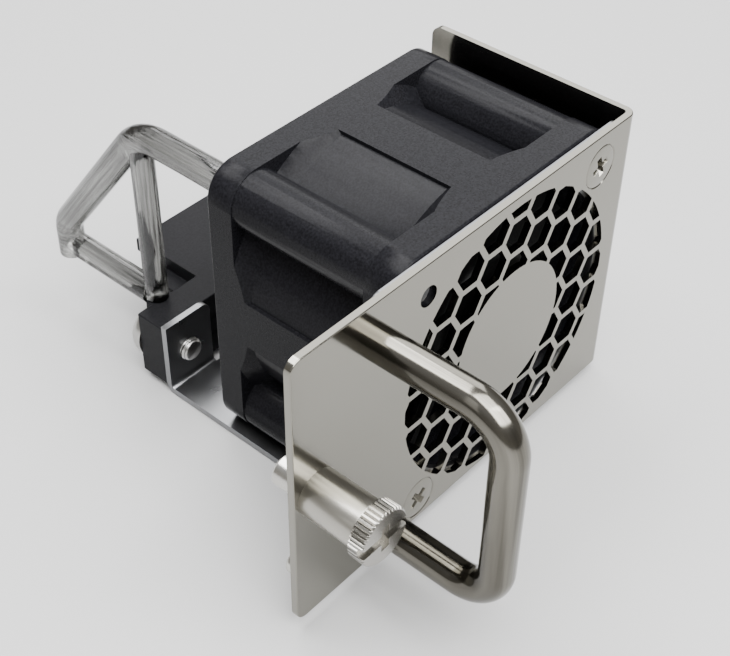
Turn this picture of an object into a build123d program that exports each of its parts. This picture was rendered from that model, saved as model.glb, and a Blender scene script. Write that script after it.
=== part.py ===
"""Hot-swappable fan module: a 40 mm fan on a folded tray behind a plate with a hexagonal grille.

Millimetres. X runs to the right, Y runs back from the plate, Z is up. The origin is on the
underside of the tray, below the centre of the fan. The fan's axis is parallel to Y.
"""
from build123d import *
import math
import os

# Fan frame
fan_size = 40.0
fan_depth = 28.0
fan_flange_t = 4.0
fan_corner_r = 4.2
fan_edge_r = 0.4
fan_hole_inset = 4.0
fan_hole_d = 4.3
fan_post_d = 7.6
fan_duct_margin = 1.9
fan_duct_wall = 1.7
fan_cone_l = 2.0
fan_cone_rise = 1.85
fan_mouth_margin = 1.1
fan_mouth_depth = 2.4
fan_land_w = 7.0
strut_count = 4
strut_w = 1.3
strut_depth = 3.4
strut_lean_deg = 20.0

# Fan motor
hub_d = 19.2
hub_wall = 0.7
hub_front_gap = 1.6
hub_back_gap = 1.4
hub_nose_r = 1.2
hub_boss_d = 4.4
hub_boss_l = 4.5
blade_count = 7
blade_t = 0.9
blade_length = 15.0
blade_root_deg = 32.0
blade_tip_deg = 52.0
blade_camber = 1.4
blade_tip_gap = 0.5
blade_front_gap = 1.2
blade_overrun = 0.6
yoke_t = 0.5
magnet_t = 1.0
magnet_length = 11.0
air_gap = 0.3
shaft_d = 2.0
shaft_end_gap = 0.5
bearing_d = 5.0
bearing_w = 2.5
bearing_rim = 0.45
shield_depth = 0.15
bearing_step = 0.35
tube_wall = 0.7
tube_shoulder_d = 4.2
stator_length = 8.0
pole_count = 4
pole_neck_w = 2.4
pole_rim_t = 1.1
pole_slot_w = 1.2
coil_t = 1.0
board_t = 0.8
board_recess = 0.2
base_d = 20.4
base_wall = 0.8
base_depth = 3.8
preload_gap = 0.7
preload_t = 0.2
clip_d = 3.8
clip_t = 0.3
clip_inset = 2.0
clip_groove_d = 1.5
clip_mouth_w = 1.2

# Front plate
plate_t = 0.9
plate_margin = 3.5
plate_rise = 0.5
plate_lift = 1.4
plate_edge_r = 0.15
plate_corner_r = 1.5
bend_r = 0.6
flange_l = 31.0
flange_gap = 2.1

# Grille
hex_flats = 4.2
hex_pitch = 5.0
grille_margin = 0.8
grille_hub_margin = 0.1
smallest_hole_area = 0.7

# Tray
tray_t = 0.9
tray_margin = 0.2
upturn_left_margin = 3.8
upturn_right_margin = 1.3
upturn_drop = 0.3
upturn_relief = 2.4
tab_setback = 9.65
tab_w = 7.8
tab_top = 11.25
tab_corner_r = 1.4

# Fan screws
screw_head_d = 5.8
screw_d = 4.2
screw_length = 9.0
recess_w = 0.8
recess_l = 2.8
recess_depth = 0.6
recess_pit_d = 1.7
recess_pit_depth = 1.2

# Pull handle
handle_offset = 4.25
handle_rod_d = 4.2
handle_pitch = 27.6
handle_reach = 17.6
handle_bend_r = 5.2
handle_low_z = 8.3
handle_screw_d = 2.5
handle_screw_head_d = 4.5
handle_screw_head_t = 1.4
handle_screw_head_r = 0.65
handle_thread_l = 5.0
handle_drill_extra = 0.5

# Captive thumbscrew
thumb_pitch = 9.45
ferrule_d = 5.9
ferrule_l = 7.4
ferrule_rim_r = 0.25
ferrule_spigot_d = 5.2
ferrule_bore_d = 4.6
ferrule_collar_y = 4.1
ferrule_collar_t = 0.8
thread_d = 4.0
thread_l = 4.0
thread_chamfer = 0.4
neck_d = 3.0
thumb_travel = 3.5
knob_d = 7.2
knob_t = 2.1
knob_teeth = 40
knob_tooth_depth = 0.25
knob_groove_share = 0.3
knob_slot_w = 1.3
knob_slot_depth = 0.8
knob_cross_w = 1.2
knob_cross_l = 3.4
knob_socket_depth = 1.0
thumb_washer_t = 0.4
thumb_spring_wire_d = 0.4
thumb_spring_turns = 4.0

# Guide pin behind the plate
guide_pin_inset = 2.5
guide_pin_d = 3.2
guide_pin_nose_r = 0.6
guide_pin_l = 2.0
guide_pin_root_d = 2.4
guide_pin_root_l = 0.45

# Light pipe
pipe_d = 3.8
pipe_nose_d = 2.5
pipe_nose_r = 0.3
pipe_run_d = 3.5
pipe_post_d = 3.15
pipe_post_setback = 0.7
pipe_run_start = 0.85
pipe_reach = 17.5
pipe_tail_rise = 3.53
pipe_run_rise = 0.32
pipe_foot_drop = 0.1
pipe_top_bend_r = 7.4
pipe_tail_bend_r = 4.0
pipe_pad_w = 3.7
pipe_pad_l = 1.05

# Connector
ear_t = 4.6
connector_top = 10.9
slab_half_w = 9.7
slab_l = 12.1
slab_t = 2.0
ledge_l = 6.8
shroud_inset = 1.0
shroud_wall = 1.4
shroud_back_inset = 0.8
socket_depth = 7.4
contact_count = 4
contact_pitch = 3.2
contact_w = 1.4
contact_t = 0.6
contact_back_inset = 1.4
contact_root = 2.0
connector_screw_inset = 3.7
connector_screw_z = 5.6
connector_screw_d = 3.4
connector_screw_head_d = 8.0
connector_screw_head_t = 2.4
connector_screw_head_r = 1.7
connector_screw_tip = 0.9

# Clearances, each on one side
press_clearance = 0.02
thread_clearance = 0.05
running_clearance = 0.03
seat_clearance = 0.05
loose_clearance = 0.15
stop_clearance = 0.1

# Places that follow from the sizes
fan_z = tray_t + fan_size / 2
fan_front = -fan_depth / 2
fan_back = fan_depth / 2
plate_back = fan_front - tray_t
plate_front = plate_back - plate_t
fan_top = fan_z + fan_size / 2
corner = fan_size / 2 - fan_hole_inset
fan_duct_d = fan_size - 2 * fan_duct_margin
fan_mouth_d = fan_size - 2 * fan_mouth_margin
duct_r = fan_duct_d / 2
grille_d = fan_size - 2 * grille_margin
grille_hub_d = hub_d + 2 * grille_hub_margin
plate_right = fan_size / 2 + flange_gap + plate_t
plate_top = fan_top + plate_rise
handle_x = fan_size / 2 + handle_offset
thumb_x = handle_x + thumb_pitch
plate_left = thumb_x + plate_margin
guide_pin_x = plate_left - guide_pin_inset
tray_half_w = fan_size / 2 + tray_margin
upturn_left = fan_size / 2 + upturn_left_margin
upturn_right = fan_size / 2 + upturn_right_margin
upturn_top = fan_top - upturn_drop
tab_front_y = fan_back + tab_setback
connector_screw_x = tray_half_w - connector_screw_inset
hub_front = fan_front + hub_front_gap
hub_inner_r = hub_d / 2 - hub_wall
yoke_r = hub_inner_r - press_clearance
magnet_r = yoke_r - yoke_t - press_clearance
stator_r = magnet_r - magnet_t - air_gap
boss_back = hub_front + hub_wall + hub_boss_l
front_bearing_y = boss_back + preload_gap
tube_r = bearing_d / 2 + press_clearance + tube_wall
base_inner_y = fan_back - base_wall
base_front = fan_back - base_depth
hub_back = base_front - hub_back_gap
board_y = base_front + board_recess
tube_front = front_bearing_y - bearing_step
clip_y = base_inner_y - clip_inset
rear_bearing_y = clip_y - running_clearance * 2 - bearing_w
tab_back = tab_front_y + tray_t
ear_back = tab_back + ear_t
handle_high_z = handle_low_z + handle_pitch
handle_bar_y = plate_front - handle_reach
ferrule_front = plate_front - ferrule_l
ferrule_seat = ferrule_front + ferrule_collar_y
thread_front = ferrule_seat + ferrule_collar_t + thumb_travel + stop_clearance
knob_back = ferrule_front - loose_clearance
washer_front = knob_back + seat_clearance
pipe_z = fan_z + corner
pipe_post_y = ear_back + pipe_post_setback
pipe_run_z = connector_top + pipe_run_rise
ledge_half_w = connector_screw_x - connector_screw_head_d / 2 - loose_clearance


def rod(x, z, y0, y1, d):
    """Cylinder along Y."""
    return Pos(x, (y0 + y1) / 2, z) * Rot(90, 0, 0) * Cylinder(d / 2, abs(y1 - y0))


def ring(x, z, y0, y1, outer_d, inner_d):
    """Hollow cylinder along Y."""
    return rod(x, z, y0, y1, outer_d) - rod(x, z, y0 - 1, y1 + 1, inner_d)


def taper(x, z, y0, y1, d0, d1):
    """Cone along Y, d0 wide at y0 and d1 wide at y1."""
    return Pos(x, (y0 + y1) / 2, z) * Rot(-90, 0, 0) * Cone(d0 / 2, d1 / 2, abs(y1 - y0))


def block(x0, x1, y0, y1, z0, z1):
    """Box between two corners."""
    size = Box(x1 - x0, y1 - y0, z1 - z0)
    return Pos((x0 + x1) / 2, (y0 + y1) / 2, (z0 + z1) / 2) * size


def slab(outline, y0, y1):
    """Outline drawn in X and Z, made solid from y0 to y1."""
    return extrude(Plane.XZ.offset(-y1) * outline, y1 - y0)


def edges_at(shape, axis, x=None, y=None, z=None):
    """Edges parallel to an axis whose middle lies at the given coordinates."""
    found = []
    for edge in shape.edges().filter_by(axis):
        middle = edge.center()
        wanted = ((x, middle.X), (y, middle.Y), (z, middle.Z))
        if all(value is None or abs(value - place) < 0.01 for value, place in wanted):
            found.append(edge)
    return found


def cross_recess(x, z, face_y, depth, length, width):
    """Cross of two slots, cut into a face that looks along minus Y."""
    long, wide = length / 2, width / 2
    upright = block(x - wide, x + wide, face_y - 1, face_y + depth, z - long, z + long)
    level = block(x - long, x + long, face_y - 1, face_y + depth, z - wide, z + wide)
    return upright + level


def grille_holes():
    """Hexagonal holes between the solid hub disc and the ring, as one flat drawing."""
    field = Circle(grille_d / 2) - Circle(grille_hub_d / 2)
    column_step = hex_pitch * math.sqrt(3) / 2
    reach = int(grille_d / 2 / column_step) + 2
    cell = RegularPolygon(hex_flats / 2, 6, major_radius=False, rotation=0)
    holes = []
    for column in range(-reach, reach + 1):
        for row in range(-reach, reach + 1):
            x = column * column_step
            z = row * hex_pitch + (column % 2) * hex_pitch / 2
            if math.hypot(x, z) > grille_d / 2 + hex_pitch:
                continue
            for piece in (field & (Pos(x, z) * cell)).faces():
                if piece.area > smallest_hole_area:
                    holes.append(piece)
    return holes


def soft_outer_rim(sheet):
    """Small round on the edge of the bent sheet's outer face."""
    rim = []
    for edge in sheet.edges():
        ends = [vertex.center() for vertex in edge.vertices()] + [edge.center()]
        outside = [min(p.Y - plate_front, plate_right - p.X) < bend_r for p in ends]
        level = max(abs(p.Z - ends[0].Z) for p in ends) < 0.01
        if all(outside) and (level or not edge.vertices()):
            rim.append(edge)
    return fillet(rim, plate_edge_r)


def front_plate():
    right, bottom, top = plate_right, plate_lift, plate_top
    sheet = block(-plate_left, right, plate_front, plate_back, bottom, top)
    sheet += block(right - plate_t, right, plate_front, plate_front + flange_l, bottom, top)
    sheet = fillet(edges_at(sheet, Axis.Z, x=right, y=plate_front), bend_r + plate_t)
    sheet = fillet(edges_at(sheet, Axis.Z, x=right - plate_t, y=plate_back), bend_r)
    sheet = fillet(edges_at(sheet, Axis.Y, x=-plate_left), plate_corner_r)
    sheet = fillet(edges_at(sheet, Axis.X, y=plate_front + flange_l), plate_corner_r)
    sheet = soft_outer_rim(sheet)
    for hole in grille_holes():
        sheet -= slab(Pos(0, fan_z) * hole, plate_front - 1, plate_back + 1)
    sheet -= rod(-thumb_x, fan_z, plate_front - 1, plate_back + 1, ferrule_spigot_d + 2 * press_clearance)
    for z in (handle_low_z, handle_high_z):
        hole_d = handle_screw_d + 2 * loose_clearance
        sheet -= rod(-handle_x, z, plate_front - 1, plate_back + 1, hole_d)
    window_d = pipe_nose_d + 2 * stop_clearance
    sheet -= rod(-corner, pipe_z, plate_front - 1, plate_back + 1, window_d)
    for side in (1, -1):
        x, z = side * corner, fan_z + side * corner
        sheet -= rod(x, z, plate_front - 1, plate_back + 1, screw_d + 2 * seat_clearance)
        sink_d = screw_head_d + 2 * seat_clearance
        sheet -= taper(x, z, plate_front, plate_front + sink_d / 2, sink_d, 0.01)
    root_d = guide_pin_root_d + 2 * press_clearance
    root_front = plate_back - guide_pin_root_l - seat_clearance
    sheet -= rod(-guide_pin_x, handle_low_z, root_front, plate_back + 1, root_d)
    return sheet


def fan_tray():
    upturn_front = plate_back
    tray = block(-upturn_left, upturn_right, upturn_front, fan_front, upturn_relief, upturn_top)
    tray += block(-tray_half_w, tray_half_w, upturn_front, fan_front, 0, upturn_relief)
    tray += block(-tray_half_w, tray_half_w, upturn_front, tab_front_y - bend_r, 0, tray_t)
    tray = fillet(edges_at(tray, Axis.X, y=upturn_front, z=0), bend_r + tray_t)
    tray = fillet(edges_at(tray, Axis.X, y=fan_front, z=tray_t), bend_r / 2)
    tray = fillet(edges_at(tray, Axis.Y, z=upturn_top), plate_corner_r)
    for side in (-1, 1):
        inner, outer = side * (tray_half_w - tab_w), side * tray_half_w
        x0, x1 = min(inner, outer), max(inner, outer)
        tab = block(x0, x1, tab_front_y, tab_back, 0, tab_top)
        tab += block(x0, x1, tab_front_y - bend_r * 2, tab_back, 0, tray_t)
        tab = fillet(edges_at(tab, Axis.X, y=tab_back, z=0), bend_r + tray_t)
        tab = fillet(edges_at(tab, Axis.X, y=tab_front_y, z=tray_t), bend_r)
        tab = fillet(edges_at(tab, Axis.Y, x=inner, z=tab_top), tab_corner_r)
        x = side * connector_screw_x
        bore_d = connector_screw_d + 2 * thread_clearance
        tab -= rod(x, connector_screw_z, tab_front_y - 2, tab_back + 1, bore_d)
        tray += tab
    tray -= rod(0, fan_z, upturn_front - 1, fan_front + 1, fan_mouth_d)
    pipe_hole_d = pipe_d + 2 * stop_clearance
    tray -= rod(-corner, pipe_z, upturn_front - 1, fan_front + 1, pipe_hole_d)
    for side in (1, -1):
        hole_d = screw_d + 2 * seat_clearance
        tray -= rod(side * corner, fan_z + side * corner, upturn_front - 1, fan_front + 1, hole_d)
    for z in (handle_low_z, handle_high_z):
        notch_d = handle_screw_head_d + 4 * loose_clearance
        tray -= rod(-handle_x, z, upturn_front - 1, fan_front + 1, notch_d)
    return tray


def fan_housing():
    pocket_end = fan_depth / 2 - fan_flange_t
    frame = slab(RectangleRounded(fan_size, fan_size, fan_corner_r), fan_front, fan_back)
    rims = [frame.faces().sort_by(Axis.Y)[end].edges() for end in (0, -1)]
    frame = fillet(rims[0] + rims[1], fan_edge_r)
    frame -= slab(Rectangle(fan_size + 2, fan_size + 2), -pocket_end, pocket_end)
    wall_d = fan_duct_d + 2 * fan_duct_wall
    flare_d = wall_d + 2 * fan_cone_rise
    cones = taper(0, 0, pocket_end - fan_cone_l, pocket_end, wall_d, flare_d)
    cones += taper(0, 0, -pocket_end, fan_cone_l - pocket_end, flare_d, wall_d)
    middle = rod(0, 0, -pocket_end, pocket_end, wall_d)
    middle += cones & slab(Rectangle(fan_size, fan_size), -pocket_end, pocket_end)
    half, low = fan_land_w / 2, duct_r - fan_duct_wall
    land = block(-half, half, -pocket_end, pocket_end, low, fan_size / 2)
    for turn in range(4):
        middle += Rot(0, 90 * turn, 0) * land
    for x in (-corner, corner):
        for z in (-corner, corner):
            middle += rod(x, z, -pocket_end, pocket_end, fan_post_d)
    frame += middle
    frame -= rod(0, 0, fan_front - 1, fan_back + 1, fan_duct_d)
    frame -= taper(0, 0, fan_front, fan_front + fan_mouth_depth, fan_mouth_d, fan_duct_d)
    frame -= taper(0, 0, fan_back - fan_mouth_depth, fan_back, fan_duct_d, fan_mouth_d)
    for x in (-corner, corner):
        for z in (-corner, corner):
            frame -= rod(x, z, fan_front - 1, fan_back + 1, fan_hole_d)
    base = rod(0, 0, base_front, fan_back, base_d)
    base -= rod(0, 0, base_front - 1, base_inner_y, base_d - 2 * base_wall)
    base += rod(0, 0, board_y + board_t, base_inner_y + 0.1, 2 * tube_r + 4 * tube_wall)
    base -= rod(0, 0, base_front - 1, base_inner_y, 2 * (tube_r + press_clearance))
    frame += base
    for number in range(strut_count):
        start, end = (base_d - base_wall) / 2, duct_r + fan_duct_wall / 2
        half = strut_w / 2
        strut = block(start, end, fan_back - strut_depth, fan_back, -half, half)
        lean = Pos(base_d / 2, 0, 0) * Rot(0, strut_lean_deg, 0) * Pos(-base_d / 2, 0, 0)
        reach = ring(0, 0, fan_back - strut_depth, fan_back, 2 * end, 2 * start)
        strut = (lean * strut) & reach
        frame += Rot(0, 45 + 360 / strut_count * number, 0) * strut
    return Pos(0, 0, fan_z) * frame


def blade_section(radius, stagger_deg):
    """Cambered outline of a blade, square to a radius, leaning by the stagger angle."""
    chord = blade_length / math.cos(math.radians(stagger_deg))
    half, t = chord / 2, blade_t / 2
    outer = ThreePointArc((-half, t), (0, blade_camber + t), (half, t))
    inner = ThreePointArc((half, -t), (0, blade_camber - t), (-half, -t))
    ends = [Line(outer @ 1, inner @ 0), Line(inner @ 1, outer @ 0)]
    face = make_face([outer, ends[0], inner, ends[1]])
    middle_y = hub_front + blade_front_gap + blade_length / 2
    place = Plane(origin=(radius, middle_y, 0), x_dir=(0, 1, 0), z_dir=(1, 0, 0))
    return place * Rot(0, 0, stagger_deg) * face


def impeller():
    hub = rod(0, 0, hub_front, hub_back, hub_d)
    hub = fillet(hub.edges().filter_by(GeomType.CIRCLE).sort_by(Axis.Y)[0], hub_nose_r)
    hub -= rod(0, 0, hub_front + hub_wall, hub_back + 1, 2 * hub_inner_r)
    hub += rod(0, 0, hub_front + hub_wall / 2, boss_back, hub_boss_d)
    hub -= rod(0, 0, hub_front + hub_wall, boss_back + 1, shaft_d + 2 * press_clearance)
    tip_r = duct_r - blade_tip_gap
    low_r, high_r = hub_inner_r / 2, tip_r + blade_overrun
    sections = []
    for share in (0.0, 0.5, 1.0):
        lean = blade_root_deg + (blade_tip_deg - blade_root_deg) * share
        sections.append(blade_section(low_r + (high_r - low_r) * share, lean))
    blade = loft(sections)
    reach = ring(0, 0, hub_front, hub_back, 2 * tip_r, hub_d - hub_wall)
    blade = blade & reach
    for number in range(blade_count):
        hub += Rot(0, 360 / blade_count * number, 0) * blade
    return Pos(0, 0, fan_z) * hub


def rotor_yoke():
    front = hub_front + hub_wall + seat_clearance
    cup = rod(0, fan_z, front, hub_back - hub_wall, 2 * yoke_r)
    cup -= rod(0, fan_z, front + yoke_t, hub_back, 2 * (yoke_r - yoke_t))
    cup -= rod(0, fan_z, front - 1, front + 1, hub_boss_d + 2 * seat_clearance)
    return cup


def rotor_magnet():
    middle = front_bearing_y + bearing_w + stator_length / 2
    y0, y1 = middle - magnet_length / 2, middle + magnet_length / 2
    return ring(0, fan_z, y0, y1, 2 * magnet_r, 2 * (magnet_r - magnet_t))


def rotor_shaft():
    shaft = rod(0, fan_z, hub_front + hub_wall + seat_clearance, base_inner_y - shaft_end_gap, shaft_d)
    shaft = chamfer(shaft.edges().filter_by(GeomType.CIRCLE), shaft_d / 10)
    return shaft - ring(0, fan_z, clip_y, clip_y + clip_t + seat_clearance, shaft_d + 1, clip_groove_d)


def bearing(y0):
    """Ball bearing with a shallow shield recess in each face."""
    outer = ring(0, fan_z, y0, y0 + bearing_w, bearing_d, shaft_d + 2 * running_clearance)
    recess_out, recess_in = bearing_d - 2 * bearing_rim, shaft_d + 2 * bearing_rim
    for face in (y0, y0 + bearing_w):
        outer -= ring(0, fan_z, face - shield_depth, face + shield_depth, recess_out, recess_in)
    return outer


def bearing_tube():
    back = base_inner_y - seat_clearance
    tube = ring(0, fan_z, tube_front, back, 2 * tube_r, tube_shoulder_d)
    pocket_d = bearing_d + 2 * press_clearance
    front_end = front_bearing_y + bearing_w + seat_clearance
    tube -= rod(0, fan_z, tube_front - 1, front_end, pocket_d)
    tube -= rod(0, fan_z, rear_bearing_y - seat_clearance, back + 1, pocket_d)
    return tube


def stator_core():
    y0 = front_bearing_y + bearing_w
    core = rod(0, 0, y0, y0 + stator_length, 2 * stator_r)
    neck_room_out = stator_r - pole_rim_t
    room = ring(0, 0, y0 - 1, y0 + stator_length + 1, 2 * neck_room_out, 2 * tube_r + 2 * pole_rim_t)
    for number in range(pole_count):
        neck = block(0, stator_r, y0 - 2, y0 + stator_length + 2, -pole_neck_w / 2, pole_neck_w / 2)
        room -= Rot(0, 360 / pole_count * number, 0) * neck
        gap = block(0, stator_r + 1, y0 - 1, y0 + stator_length + 1, -pole_slot_w / 2, pole_slot_w / 2)
        gap -= rod(0, 0, y0 - 2, y0 + stator_length + 2, 2 * neck_room_out)
        core -= Rot(0, 360 / pole_count * (number + 0.5), 0) * gap
    core -= room
    core -= rod(0, 0, y0 - 1, y0 + stator_length + 1, 2 * (tube_r + press_clearance))
    return Pos(0, 0, fan_z) * core


def stator_coils():
    """One closed winding round each pole's neck."""
    y0 = front_bearing_y + bearing_w
    inner_r = tube_r + pole_rim_t + seat_clearance
    outer_r = stator_r - pole_rim_t - seat_clearance
    half_w = pole_neck_w / 2 + seat_clearance
    coils = []
    for number in range(pole_count):
        full_w, y1 = half_w + coil_t, y0 + stator_length
        coil = block(inner_r, outer_r, y0 - coil_t, y1 + coil_t, -full_w, full_w)
        coil -= block(0, stator_r, y0 - seat_clearance, y1 + seat_clearance, -half_w, half_w)
        coil &= rod(0, 0, y0 - 2 * coil_t, y1 + 2 * coil_t, 2 * outer_r)
        coils.append(Pos(0, 0, fan_z) * Rot(0, 360 / pole_count * number, 0) * coil)
    return Compound(children=coils)


def motor_board():
    board_d = base_d - 2 * base_wall - 2 * loose_clearance
    return ring(0, fan_z, board_y, board_y + board_t, board_d, 2 * (tube_r + seat_clearance))


def preload_washer():
    """Dished spring washer between the hub's boss and the front bearing."""
    inner, outer = shaft_d / 2 + loose_clearance, hub_boss_d / 2
    y0, y1 = boss_back + stop_clearance, front_bearing_y - stop_clearance
    t = preload_t
    outline = Polyline((inner, y0), (inner, y0 + t), (outer, y1), (outer, y1 - t), close=True)
    return Pos(0, 0, fan_z) * revolve(make_face(outline), Axis.Y)


def shaft_clip():
    y0 = clip_y + seat_clearance / 2
    clip = ring(0, fan_z, y0, y0 + clip_t, clip_d, clip_groove_d + 2 * press_clearance)
    half = clip_mouth_w / 2
    return clip - block(-half, half, y0 - 1, y0 + 1, fan_z - clip_d, fan_z)


def fan_screw(side):
    x, z = side * corner, fan_z + side * corner
    cone_l = (screw_head_d - screw_d) / 2
    screw = taper(x, z, plate_front, plate_front + cone_l, screw_head_d, screw_d)
    screw += rod(x, z, plate_front + cone_l, plate_front + screw_length, screw_d)
    pit = taper(x, z, plate_front, plate_front + recess_pit_depth, recess_pit_d, recess_w)
    return screw - cross_recess(x, z, plate_front, recess_depth, recess_l, recess_w) - pit


def pull_handle():
    path = FilletPolyline(
        (-handle_x, plate_front, handle_high_z), (-handle_x, handle_bar_y, handle_high_z),
        (-handle_x, handle_bar_y, handle_low_z), (-handle_x, plate_front, handle_low_z),
        radius=handle_bend_r,
    )
    section = Plane(origin=path @ 0, z_dir=path % 0) * Circle(handle_rod_d / 2)
    handle = sweep(section, path=path)
    for z in (handle_low_z, handle_high_z):
        hole_d = handle_screw_d + 2 * thread_clearance
        drill_front = plate_front - handle_thread_l - handle_drill_extra
        handle -= rod(-handle_x, z, drill_front, plate_front + 1, hole_d)
    return handle


def handle_screw(z):
    head = rod(-handle_x, z, plate_back, plate_back + handle_screw_head_t, handle_screw_head_d)
    rim = head.edges().filter_by(GeomType.CIRCLE).sort_by(Axis.Y)[-1]
    head = fillet(rim, handle_screw_head_r)
    shank = rod(-handle_x, z, plate_front - handle_thread_l, plate_back, handle_screw_d)
    return head + shank


def thumbscrew_ferrule():
    ferrule = rod(-thumb_x, fan_z, ferrule_front, plate_front, ferrule_d)
    rim = ferrule.edges().filter_by(GeomType.CIRCLE).sort_by(Axis.Y)[0]
    ferrule = fillet(rim, ferrule_rim_r)
    ferrule += rod(-thumb_x, fan_z, plate_front, plate_back, ferrule_spigot_d)
    ferrule -= rod(-thumb_x, fan_z, ferrule_front - 1, ferrule_seat, ferrule_bore_d)
    ferrule -= rod(-thumb_x, fan_z, ferrule_front, plate_back, neck_d + 2 * stop_clearance)
    thread_room = thread_d + 2 * loose_clearance
    ferrule -= rod(-thumb_x, fan_z, ferrule_seat + ferrule_collar_t, plate_back + 1, thread_room)
    return ferrule


def knob_outline():
    """Round outline with straight knurling: pointed grooves between flat-topped teeth."""
    outer, inner = knob_d / 2, knob_d / 2 - knob_tooth_depth
    marks = ((0.0, inner), (knob_groove_share, outer), (1 - knob_groove_share, outer))
    points = []
    for tooth in range(knob_teeth):
        for offset, r in marks:
            angle = math.tau * (tooth + offset) / knob_teeth
            points.append((r * math.cos(angle), r * math.sin(angle)))
    return make_face(Polyline(*points, close=True))


def thumbscrew_knob():
    front = knob_back - knob_t
    knob = slab(knob_outline(), front, knob_back)
    bevel_d = knob_d - 2 * knob_tooth_depth
    knob = knob & taper(0, 0, front, front + knob_t, bevel_d, bevel_d + 2 * knob_t)
    slot_back = front + knob_slot_depth
    knob -= block(-knob_d, knob_d, front - 1, slot_back, -knob_slot_w / 2, knob_slot_w / 2)
    half_w, half_l = knob_cross_w / 2, knob_cross_l / 2
    knob -= block(-half_w, half_w, front - 1, slot_back, -half_l, half_l)
    knob -= rod(0, 0, knob_back - knob_socket_depth, knob_back + 1, neck_d + 2 * press_clearance)
    return Pos(-thumb_x, 0, fan_z) * knob


def thumbscrew_shank():
    neck_front = knob_back - knob_socket_depth + seat_clearance
    neck = rod(-thumb_x, fan_z, neck_front, thread_front, neck_d)
    thread = rod(-thumb_x, fan_z, thread_front, thread_front + thread_l, thread_d)
    tip = thread.edges().filter_by(GeomType.CIRCLE).sort_by(Axis.Y)[-1]
    thread = chamfer(tip, thread_chamfer)
    return neck + thread


def thumbscrew_washer():
    outer_d = ferrule_bore_d - 2 * loose_clearance
    inner_d = neck_d + 2 * running_clearance
    return ring(-thumb_x, fan_z, washer_front, washer_front + thumb_washer_t, outer_d, inner_d)


def thumbscrew_spring():
    """Coil round the neck, from the washer to the collar inside the ferrule."""
    washer_back = washer_front + thumb_washer_t
    wire = thumb_spring_wire_d
    length = ferrule_seat - washer_back - wire - 2 * stop_clearance
    mean_r = ferrule_bore_d / 2 - loose_clearance - wire / 2
    coil = Helix(pitch=length / thumb_spring_turns, height=length, radius=mean_r)
    section = Plane(origin=coil @ 0, z_dir=coil % 0) * Circle(wire / 2)
    spring = sweep(section, path=coil)
    start = washer_back + stop_clearance + wire / 2
    return Pos(-thumb_x, start, fan_z) * Rot(-90, 0, 0) * spring


def guide_pin():
    pin = rod(-guide_pin_x, handle_low_z, plate_back, plate_back + guide_pin_l, guide_pin_d)
    nose = pin.edges().filter_by(GeomType.CIRCLE).sort_by(Axis.Y)[-1]
    pin = fillet(nose, guide_pin_nose_r)
    root_front = plate_back - guide_pin_root_l
    return pin + rod(-guide_pin_x, handle_low_z, root_front, plate_back, guide_pin_root_d)


def light_pipe():
    """Clear rod from the window to the rear foot, with a level run and a post that carry it."""
    start, tail_y = plate_back + stop_clearance, pipe_post_y + pipe_reach
    path = FilletPolyline(
        (-corner, start, pipe_z), (-corner, pipe_post_y, pipe_z),
        (-corner, tail_y, pipe_run_z + pipe_tail_rise),
        (-corner, tail_y, pipe_run_z - pipe_run_d / 2 - pipe_foot_drop),
        radius=(pipe_top_bend_r, pipe_tail_bend_r),
    )
    section = Plane(origin=path @ 0, z_dir=path % 0) * Circle(pipe_d / 2)
    pipe = sweep(section, path=path)
    pipe += rod(-corner, pipe_run_z, pipe_post_y + pipe_run_start, tail_y, pipe_run_d)
    post_top = pipe_z - pipe_nose_d / 2
    post = Cylinder(pipe_post_d / 2, post_top - connector_top)
    pipe += Pos(-corner, pipe_post_y, (connector_top + post_top) / 2) * post
    nose = rod(-corner, pipe_z, plate_front + stop_clearance, start + pipe_nose_d, pipe_nose_d)
    rim = nose.edges().filter_by(GeomType.CIRCLE).sort_by(Axis.Y)[0]
    return pipe + fillet(rim, pipe_nose_r)


def connector_body():
    floor = tray_t
    body = block(-tray_half_w, tray_half_w, tab_back, ear_back, floor, connector_top)
    ledge_top = connector_top - slab_t
    body += block(-ledge_half_w, ledge_half_w, ear_back, ear_back + ledge_l, floor, ledge_top)
    body += block(-slab_half_w, slab_half_w, ear_back, ear_back + slab_l, ledge_top, connector_top)
    mouth = ear_back + slab_l - shroud_back_inset
    half = slab_half_w - shroud_inset
    body += block(-half, half, ear_back, mouth, floor, ledge_top)
    inner = half - shroud_wall
    socket = block(-inner, inner, mouth - socket_depth, mouth + 2, floor + shroud_wall, ledge_top)
    body -= socket
    for x in (-connector_screw_x, connector_screw_x):
        hole_d = connector_screw_d + 2 * loose_clearance
        body -= rod(x, connector_screw_z, tab_back - 1, ear_back + 1, hole_d)
    pad_low = connector_screw_z + connector_screw_head_d / 2 + loose_clearance
    left, right = -corner - pipe_pad_w / 2, -corner + pipe_pad_w / 2
    body += block(left, right, ear_back, ear_back + pipe_pad_l, pad_low, connector_top)
    for x in contact_places():
        body -= contact_blade(x, press_clearance)
    return body


def contact_places():
    """Middle of each contact along X."""
    return [(number - (contact_count - 1) / 2) * contact_pitch for number in range(contact_count)]


def contact_blade(x, extra):
    """One flat contact, with extra added on each side for the slot that holds it."""
    mouth = ear_back + slab_l - shroud_back_inset
    y0 = mouth - socket_depth - contact_root
    y1 = mouth - contact_back_inset
    middle_z = (tray_t + shroud_wall + connector_top - slab_t) / 2
    w, t = contact_w / 2 + extra, contact_t / 2 + extra
    return block(x - w, x + w, y0 - extra, y1, middle_z - t, middle_z + t)


def connector_contacts():
    return Compound(children=[contact_blade(x, 0) for x in contact_places()])


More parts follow.
